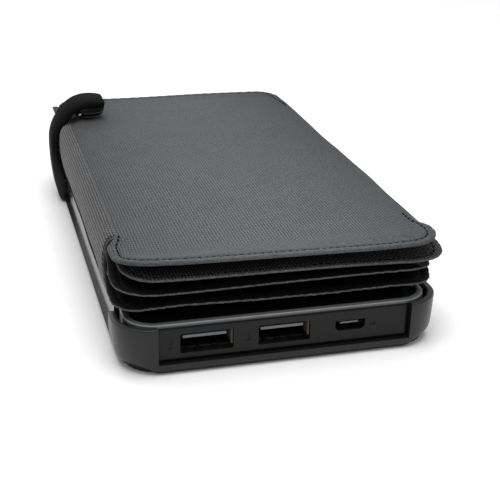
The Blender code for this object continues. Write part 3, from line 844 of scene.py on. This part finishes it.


def build_flap():
    """The fabric side that hangs from the top leaf, over the other leaves' edges.

    Its front edge leans, and shows the inner ply beyond a seam groove that is painted black as
    painted shade. A black band along its bottom is painted shadow.
    """
    front, back = FLAP_LOW[1], FLAP_HIGH[1]
    front += 0.8
    steps = [(front, 0.35), (front + FLAP_PLY, 0.35), (front + FLAP_PLY + 0.05, 0.75),
             (front + FLAP_PLY + 0.45, 0.75), (front + FLAP_PLY + 0.6, 0.1)]
    steps += [(y, 0.0) for y in stations(front + FLAP_PLY + 0.9, back, 1.5)]
    lines = []
    for y, step in steps:
        pull = 1 - smoothstep(y - front, 1.5, 12.0)
        lines.append((y, lambda z, pull=pull: through(FLAP_FRONT_LEAN, z) * pull, step))
    flap = strip("side_flap_cloth", FLAP_PROFILE, 0.9, lines, "flap", wave=0.1,
                 lift=REAR_LIFT[1])
    count = len(flap.data.vertices) // len(lines)

    def choose(face):
        y, z = face.center.y / MM, face.center.z / MM
        ring = min(face.vertices) // count
        # the seam's groove and a band along the bottom take the black felt look: painted shade
        if ring in (1, 2) or (z < FLAP_PROFILE[0][1] + FLAP_HEM_SHADE and y > front + 14):
            return 2
        return 1 if ring == 0 or y > back + 1 else 0

    paint(flap, ("ply", "felt"), choose)
    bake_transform(flap)
    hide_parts("side_flap")


STRAP_PROFILE = (
    (-40.9, 0.5), (-41.7, 0.7), (-42.3, 1.5), (-42.9, 3.4), (-43.4, 6.3), (-43.75, 9.0),
    (-44.0, 12.0), (-44.15, 15.5), (-44.15, 19.0), (-43.9, 22.0), (-43.1, 24.8), (-41.9, 27.2),
    (-40.4, 29.4), (-38.7, 31.3), (-36.9, 32.7), (-34.9, 33.7), (-32.5, 34.3),
    (-30.4, 34.4), (-28.2, 34.25), (-26.1, 33.85),
)


def strap_thickness(z):
    """The strap is doubled at its root and thick again at its tip."""
    return mix(mix(3.0, 1.9, smoothstep(z, 8.0, 15.0)), 2.15, smoothstep(z, 22.0, 30.0))


# Round the strap's section: the side, and the depth as a share of the thickness.
STRAP_SECTION = ((-1, 0.5), (-1, 0.2), (-1, 0.0), (1, 0.0), (1, 0.2), (1, 0.5),
                 (1, 0.8), (1, 1.0), (-1, 1.0), (-1, 0.8))
STRAP_EDGE = {0.0: 0.45, 0.2: 0.12, 0.5: 0.0, 0.8: 0.12, 1.0: 0.45}    # its rounded edges
TIP_POINTS, TIP_NARROW = 5, 0.9    # its tip narrows over this many points, by this much


def strap_piece(name, points, soft_end=False):
    """A length of the strap, a flat band with rounded edges."""
    y0, y1 = ROOT_LOW[1], ROOT_HIGH[1]
    middle, half = (y0 + y1) / 2, (y1 - y0) / 2
    rings = []
    for k, (x, z) in enumerate(points):
        normal = outward(points, k)
        left = (len(points) - 1 - k) / TIP_POINTS
        narrow = 0.0
        if soft_end and left < 1:
            narrow = TIP_NARROW * (1 - math.sqrt(max(1 - (1 - left) ** 2, 0)))
        ring = []
        for across, depth in STRAP_SECTION:
            y = middle + across * (half - STRAP_EDGE[depth] - narrow)
            d = depth * strap_thickness(z) * min(1.0, 0.35 + z / 3.0)
            ring.append((x + normal[0] * d, y, z + normal[1] * d))
        rings.append(ring)
    return loft(name, rings, "strap", angle=55)


def build_strap():
    line = smooth_profile(STRAP_PROFILE, 0.7)
    split = min(range(len(line)), key=lambda k: math.dist(line[k], STRAP_PROFILE[10]))
    band = strap_piece("strap_band_leather", line[:split + 1])
    tip = strap_piece("strap_end_leather", line[split:], soft_end=True)
    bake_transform(band)
    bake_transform(tip)
    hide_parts("strap_root", "strap_band")
    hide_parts("strap_tip")


def revolve(name, profile, centre, look, steps=48, closed=False):
    """A turned part: a profile of (radius, height) pairs about a vertical line."""
    rings = [
        [(centre[0] + radius * math.cos(2 * math.pi * i / steps),
          centre[1] + radius * math.sin(2 * math.pi * i / steps), height)
         for i in range(steps)]
        for radius, height in profile
    ]
    return loft(name, rings, look, closed=closed, angle=35)


SNAP_BEAD = (-34.3, 48.6, 29.6)     # centre of the bright bead beside the snap
BEAD_RADIUS = 0.75
SNAP_RINGS = ((4.3, 1.6), (5.0, 3.0))   # radius, and height over the stud's base
RING_WIRE = 0.14


def circle(radius, height, wire, turns):
    """A (radius, height) profile round a circle, at some headings in degrees."""
    return [(radius + wire * math.cos(math.radians(turn)),
             height + wire * math.sin(math.radians(turn))) for turn in turns]


def build_snap():
    x, y, z = SNAP_BEAD
    half = [(max(radius, 0.02), height)
            for radius, height in circle(0.0, z, BEAD_RADIUS, range(-90, 91, 15))]
    place(revolve("snap_bead", half, (x, y), "bright", steps=20), "strap_tip", "steel")
    centre = ((STUD_LOW[0] + STUD_HIGH[0]) / 2, (STUD_LOW[1] + STUD_HIGH[1]) / 2)
    base, radius = STUD_LOW[2], (STUD_HIGH[0] - STUD_LOW[0]) / 2
    for k, (ring_radius, height) in enumerate(SNAP_RINGS):
        wire = circle(ring_radius, base + height, RING_WIRE, range(0, 360, 45))
        ring = revolve(f"snap_ring_{k + 1}", wire, centre, "ring", closed=True)
        place(ring, "strap_tip", "steel")
    stud = revolve("snap_stud_metal", (
        (0.4, base), (radius, base), (radius + 0.05, base + 0.2), (radius - 0.25, base + 0.45),
        (radius - 1.1, base + 0.5), (radius - 1.5, base + 0.7), (1.7, base + 0.8),
        (1.55, base + 1.1), (1.75, base + 1.6), (1.4, base + 1.85), (0.3, base + 1.9),
    ), centre, "snap")
    place(stud, "leaf_1", "steel", "snap_stud")
    low, high = SOCKET_LOW[2], SOCKET_HIGH[2]
    socket = revolve("snap_socket_metal", (
        (1.9, low + 1.2), (1.95, low + 0.15), (2.3, low), (radius - 0.6, low + 0.05),
        (radius - 0.1, low + 0.2), (radius + 0.2, low + 0.55), (radius + 0.5, low + 1.2),
        (radius + 0.8, low + 1.9), (radius + 0.7, high + 0.4), (0.4, high + 0.4),
        (0.3, low + 1.3),
    ), centre, "snap")
    place(socket, "strap_tip", "steel", "snap_socket")


# ---- the case -----------------------------------------------------------------------
END_WINDOW = 32.2          # half the width of the bumper's windows at the ends
SIDE_WINDOW = 61.0         # and half the length of those at the sides
RAIL_TOP = 2.8
SIDE_RAIL_LINE = ((-60.0, 3.0), (-50.0, 2.5), (-40.0, 2.2), (-10.0, 1.9), (40.0, 1.9),
                  (52.0, 2.3), (60.0, 3.0))     # y and height of a side rail's top


def case_outline(inset):
    width, length = BUMPER_HIGH[0] - inset, BUMPER_HIGH[1] - inset
    return rounded_rectangle(-width, width, -length, length, max(BUMPER_RADIUS - inset, 0.8),
                             step=8.0, arc=20)


def ring_through(name, profile, look, closed=True, angle=40):
    rings = [[(x, y, z) for x, y in case_outline(inset)] for inset, z in profile]
    return loft(name, rings, look, closed=closed, angle=angle)


BUMPER_FLARE = (1.2, 0.5, 0.15)    # how far its top leans out: left, right, and the ends
FLARE_BEND = 2.2           # above 1, most of the flare is low down
CORNER_CUT = 1.5           # how far its lower corners are cut in,
CORNER_CUT_TOP = 3.6       # the height that the cut starts from, and how it
CORNER_CUT_BEND = 1.3      # bends on its way down
RAIL_INSET = 0.5           # how far its side rails stand in
CORNER_LEAN = 4.5          # the side windows open wider towards the top, at each end


def flared(x, y, z):
    """The bumper's drafted walls, and its bottom corners cut in."""
    width, length, top = BUMPER_HIGH
    t = 1 - (1 - min(max(z / top, 0.0), 1.0)) ** FLARE_BEND
    left, right, end = BUMPER_FLARE
    low = (1 - min(z / CORNER_CUT_TOP, 1.0)) ** CORNER_CUT_BEND
    corner = smoothstep(abs(x), width - BUMPER_RADIUS, width - 2.0) \
        * smoothstep(abs(y), length - BUMPER_RADIUS, length - 2.0)
    cut_in = 1 - CORNER_CUT * low * corner / width
    side = t * (left if x < 0 else right) - (1 - t) * RAIL_INSET
    return (x * cut_in * (1 + side / width), y * cut_in * (1 + t * end / length), z)


def build_bumper():
    width, length, top = BUMPER_HIGH
    profile = (
        (2.2, 0.0), (1.6, 0.0), (1.2, 0.06), (1.05, 0.16), (0.2, 1.35), (0.06, 1.6), (0.0, 2.0),
        (0.0, 3.0), (0.0, 4.0), (0.0, 6.0), (0.0, 8.0), (0.0, top - 0.3), (0.06, top - 0.1),
        (0.2, top), (BUMPER_WALL - 0.3, top), (BUMPER_WALL - 0.2, top - 0.1),
        (BUMPER_WALL - 0.2, top - 0.4), (BUMPER_WALL, 3.0), (BUMPER_WALL, 0.4),
    )
    rings = [[flared(x, y, z) for x, y in case_outline(inset)] for inset, z in profile]
    bumper = loft("bumper_shell", rings, "bumper", closed=True)
    tools = []
    for sign in (-1, 1):
        y0, y1 = span(sign, length - 3.0, length + 3.0)
        tools.append(block("end_window", (-END_WINDOW, y0, RAIL_TOP),
                           (END_WINDOW, y1, top + 2), "bumper"))
        half = SIDE_WINDOW - 1.0 + CORNER_LEAN
        rings = [[(x, y, z) for y, z in SIDE_RAIL_LINE]
                 + [(x, half, top + 0.5), (x, -half, top + 0.5)]
                 for x in span(sign, width - 3.0, width + 3.0)]
        tools.append(loft("side_window", rings, "bumper"))
    combine(bumper, tools)
    soften(bumper, 0.14, 2, 50)

    def choose(face):
        # the top faces take the lighter copy of the plastic: painted reflection
        if face.normal.z > 0.8 and face.center.z > (top - 0.6) * MM:
            return 1
        return 2 if abs(face.normal.x) > 0.8 and face.center.z < 3.2 * MM else 0

    paint(bumper, ("bumper_top", "rail_side"), choose)
    place(bumper, "case", "black_plastic", "bumper_frame")


PORT_REACH = (-78.0, -60.5)        # from outside the port face to inside a port, in y


def opening(name, x, z, width, height, cut_corner=0.0):
    """A tool for a port opening, with rounded corners or its lower two cut off."""
    half, tall = width / 2, height / 2
    if cut_corner:
        shape = [(-half, tall), (-half, -tall + cut_corner), (-half + cut_corner, -tall),
                 (half - cut_corner, -tall), (half, -tall + cut_corner), (half, tall)]
    else:
        shape = rounded_rectangle(-half, half, -tall, tall, 0.4, step=20, arc=5)
    rings = [[(x + u, y, z + v) for u, v in shape] for y in PORT_REACH]
    return loft(name, rings, "body")


USB_PORTS = (-20.1, -0.6)  # the middles of the two USB-A openings, in x
USB_SIZE = (13.2, 5.2)
USB_Z = 7.5
MICRO_X, MICRO_Z = 16.5, 7.7
MICRO_SIZE = (7.8, 2.7)
LIGHT_HOLE = (-0.85, 0.85, -0.85, 0.85, 0.84)   # a round hole: its sides and its radius
# A plain bar beside each port, pressed into the port face: x, width, height.
PORT_MARKS = ((-29.2, 1.0, 2.2), (-9.9, 1.0, 2.2), (22.4, 1.4, 0.8))
BODY_INSET = 2.1           # the body's walls, from the bumper's outside
PAD_DEPTH, PAD_BOTTOM = 2.5, 3.7   # the body's pads in the windows


def build_body():
    """The inner case: a rounded box that stands proud in the bumper's four windows."""
    low, high = BODY_LOW, BODY_HIGH
    inset = BODY_INSET
    body = ring_through("body_shell", (
        (inset + 1.2, low[2]), (inset + 0.2, low[2]), (inset, low[2] + 0.2),
        (inset, high[2] - 0.5), (inset + 0.15, high[2] - 0.15), (inset + 0.5, high[2]),
        (inset + 1.4, high[2]),
    ), "body", closed=False)
    end_half, side_half = END_WINDOW - 0.3, SIDE_WINDOW - 0.3
    pads = []
    for sign in (-1, 1):
        y0, y1 = span(sign, high[1] - PAD_DEPTH, high[1])
        pads.append(block("end_pad", (-end_half, y0, PAD_BOTTOM), (end_half - 0.6, y1, high[2]),
                          "body"))
        x0, x1 = span(sign, high[0] - PAD_DEPTH, high[0])
        pads.append(block("side_pad", (x0, 1.2 - side_half, low[2] - 0.3),
                          (x1, side_half - 1.2, high[2]), "body"))
    combine(body, pads, "UNION")
    tools = [opening("usb_opening", x, USB_Z, *USB_SIZE) for x in USB_PORTS]
    tools.append(opening("micro_opening", MICRO_X, MICRO_Z, *MICRO_SIZE, 0.8))
    button_low, button_high = node_box("power_button")
    tools.append(block("button_hole", (35.9, button_low[1] - 0.15, button_low[2] - 0.15),
                       (42.0, button_high[1] + 0.15, button_high[2] + 0.15), "body"))
    for number in range(1, 5):
        light_low, light_high = node_box(f"light_pipe_{number}")
        middle = [(a + b) / 2 for a, b in zip(light_low, light_high)]
        shape = rounded_rectangle(*LIGHT_HOLE, step=20, arc=6)
        rings = [[(x, middle[1] + u, middle[2] + v) for u, v in shape]
                 for x in (light_low[0] - 0.2, light_high[0] + 2)]
        tools.append(loft("light_hole", rings, "body"))
    for x, width, height in PORT_MARKS:
        tools.append(block("mark", (x - width / 2, low[1] - 1, USB_Z - height / 2),
                           (x + width / 2, low[1] + 0.25, USB_Z + height / 2), "body"))
    combine(body, tools)
    soften(body, 0.18, 2, 50)
    paint(body, ("side",), lambda face: int(abs(face.center.x) > (high[0] - 0.3) * MM))
    place(body, "case", "black_plastic", "case_body")


def build_bezel():
    top = BEZEL_TOP
    bezel = ring_through("bezel_gloss", (
        (2.15, top - 0.85), (2.15, top - 0.25), (2.22, top - 0.08), (2.4, top + 0.02),
        (2.65, top + 0.04), (3.6, top + 0.04), (3.75, top), (3.8, top - 0.12),
        (3.8, top - 0.9),
    ), "bezel", angle=60)
    bezel.location.x = -0.3 * MM

    def choose(face):
        # outward sloping faces of the front half take the lighter copy: painted highlight along
        # the front edge
        out = face.normal.x * face.center.x + face.normal.y * face.center.y
        return int(0.2 < face.normal.z < 0.97 and out > 0 and face.center.y < 0)

    paint(bezel, ("bezel_edge",), choose)
    place(bezel, "case", "gloss_black", "bezel_ring")


def insert(name, low, high, look, slot, *replaced, edge=0.12):
    """A piece inside a port: a block with softened edges."""
    piece = block(name, low, high, look)
    if edge:
        soften(piece, edge, 2)
    place(piece, "case", slot, *replaced)


def build_ports():
    """Tongues and contacts inside the ports."""
    front = BODY_LOW[1]
    for number, x in enumerate(USB_PORTS, start=1):
        low, high = node_box(f"usb_tongue_{number}")
        # a light grey bar along the tongue's top front edge: painted highlight
        insert(f"usb_insert_{number}", (x - 5.9, front + 0.9, USB_Z + 0.95),
               (x + 5.0, high[1], USB_Z + 1.75), "tongue", "tongue", f"usb_tongue_{number}")
        for k, offset in enumerate((-4.2, -1.2, 2.4)):
            # the springs' near-black metal is painted shade
            insert(f"usb_spring_{number}_{k + 1}", (x + offset - 0.7, low[1] - 1.2, USB_Z - 2.5),
                   (x + offset + 0.7, low[1] + 2.0, USB_Z - 1.8), "spring", "steel")
        # a lighter strip on the shell's right inner wall: painted highlight
        insert(f"usb_wall_{number}", (x + 6.1, front + 0.7, USB_Z - 1.6),
               (x + 6.5, front + 4.0, USB_Z + 2.3), "port_wall", "steel", edge=0)
    # the micro USB tongue's bar carries the same painted highlight
    insert("micro_usb_insert", (MICRO_X - 2.4, front + 0.9, MICRO_Z + 0.1),
           (MICRO_X + 2.4, node_box("micro_usb_tongue")[1][1], MICRO_Z + 0.6), "tongue",
           "tongue", "micro_usb_tongue", edge=0.1)


# ---- finishes of the CAD pieces that keep their own shape ----------------------------
def finish_cad():
    finishes = {
        "black_plastic": "bumper", "gloss_black": "button", "weave": "cover",
        "lining": "lining", "solar": "solar", "strap": "strap", "steel": "steel",
        "board": "board", "cell": "cell", "tongue": "tongue", "light_pipe": "light",
    }
    for node in NODES.values():
        for material_slot in node.material_slots:
            name = material_slot.material.name.split(".")[0] if material_slot.material else ""
            if name in finishes:
                material_slot.material = LOOKS[finishes[name]]
    # the port shells take the darker steel: painted shade
    for name in ("usb_shell_1", "usb_shell_2", "micro_usb_shell"):
        NODES[name].material_slots[0].material = LOOKS["steel_painted_shade"]
    NODES["fixing_pad"].material_slots[0].material = LOOKS["felt"]


# ---- the studio ---------------------------------------------------------------------
CAMERA_PLACE = (-73.05, -296.21, 128.41)
CAMERA_AZIMUTH, CAMERA_TILT, CAMERA_ROLL = -15.93, 66.78, 1.375
CAMERA_LENS = 76.54
CAMERA_SHIFT = (0.0015, 0.0026)


def add_camera():
    data = bpy.data.cameras.new("camera")
    data.lens = CAMERA_LENS
    data.sensor_width = 36.0
    data.shift_x, data.shift_y = CAMERA_SHIFT
    data.clip_start = 0.01
    camera = bpy.data.objects.new("camera", data)
    bpy.context.scene.collection.objects.link(camera)
    turn = (Matrix.Rotation(math.radians(CAMERA_AZIMUTH), 4, "Z")
            @ Matrix.Rotation(math.radians(CAMERA_TILT), 4, "X")
            @ Matrix.Rotation(math.radians(CAMERA_ROLL), 4, "Z"))
    camera.matrix_world = Matrix.Translation([value * MM for value in CAMERA_PLACE]) @ turn
    bpy.context.scene.camera = camera


FLOOR_HALF = 4000.0
WORLD_LEVEL = 0.475        # sky brightness level with the object
WORLD_SLOPE = (0.03, 0.05, 0.15)   # how much brighter it is towards +X, +Y and +Z
WORLD_LEAST = 0.12


def area_light(name, place, aim, size, power, colour=(1, 1, 1)):
    data = bpy.data.lights.new(name, "AREA")
    data.shape = "RECTANGLE"
    data.size, data.size_y = (value * MM for value in size)
    data.energy = power
    data.color = colour
    light = bpy.data.objects.new(name, data)
    bpy.context.scene.collection.objects.link(light)
    start, end = Vector(place) * MM, Vector(aim) * MM
    light.location = start
    light.rotation_euler = (end - start).to_track_quat("-Z", "Y").to_euler()


def add_studio():
    floor_look = Shader("studio_floor", roughness=0.9, specular=0.1)
    LOOKS["floor"] = floor_look.material
    faint = floor_look.noise(60.0, 2.0)
    floor_look.link(floor_look.ramp(faint, (0.3, grey(0.86)), (0.7, grey(0.88))),
                    floor_look.inputs["Base Color"])
    corners = ((-1, -1), (1, -1), (1, 1), (-1, 1))
    floor = mesh_object("floor", [(x * FLOOR_HALF, y * FLOOR_HALF, 0) for x, y in corners],
                        [(0, 1, 2, 3)], "floor")
    world = bpy.data.worlds.new("studio")
    bpy.context.scene.world = world
    sky = Tree(world)
    strength = WORLD_LEVEL
    for axis, weight in zip(sky.split(sky.nodes.new("ShaderNodeTexCoord").outputs["Generated"]),
                            WORLD_SLOPE):
        strength = axis * weight + strength
    background = sky.nodes["Background"]
    background.inputs["Color"].default_value = (1, 1, 1, 1)
    sky.link(sky.math("MAXIMUM", strength, WORLD_LEAST), background.inputs["Strength"])
    area_light("top_softbox", (-30, -60, 600), (0, -20, 10), (520, 520), 3.35)
    area_light("back_softbox", (0, 950, 650), (0, 500, 0), (700, 400), 3.4)
    bpy.context.scene.view_settings.view_transform = "Standard"


# ---- build --------------------------------------------------------------------------
build_bumper()
build_body()
build_bezel()
build_ports()
build_leaves()
build_folds()
build_flap()
build_strap()
build_snap()
finish_cad()
add_camera()
add_studio()
